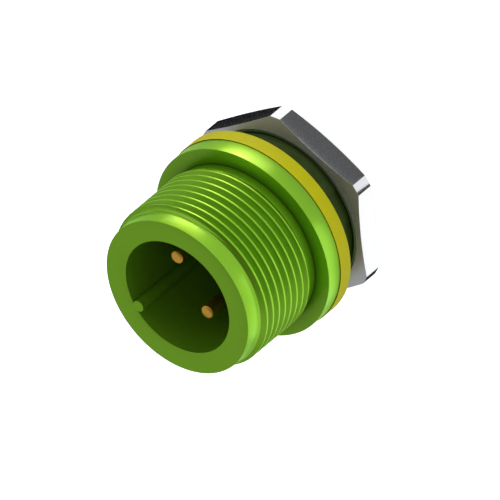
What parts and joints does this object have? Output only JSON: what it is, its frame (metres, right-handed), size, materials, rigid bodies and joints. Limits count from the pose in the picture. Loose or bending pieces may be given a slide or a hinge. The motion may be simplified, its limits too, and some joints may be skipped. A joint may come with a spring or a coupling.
{
  "type": "panel receptacle connector",
  "caption": "Round waterproof power receptacle with a threaded mouth, keyed pins, a flange with a gasket and a hexagon nut that clamps it in a panel.",
  "frame": {"origin": "on the connector's axis, in the plane of the flat rear end that it stands on", "axes": "+Z along the axis, out of the mouth; +Y towards the key rib in the cavity; the two pins stand on the X axis"},
  "size_m": [0.022, 0.0222, 0.0214],
  "materials": {
    "green_shell": "green anodised, satin gloss",
    "yellow_rubber": "moulded yellow silicone rubber",
    "plated_nut": "bright nickel plate",
    "black_insulator": "moulded black plastic",
    "black_rubber": "black rubber",
    "gold_contact": "gold plated brass"
  },
  "bodies": {
    "root": {"shell": "green_shell", "panel_gasket": "yellow_rubber", "lock_nut": "plated_nut", "front_insulator": "black_insulator", "rear_insulator": "black_insulator", "insulator_seal": "black_rubber", "retaining_ring": "plated_nut", "contact_pin_a": "gold_contact", "contact_pin_b": "gold_contact"}
  },
  "joints": []
}
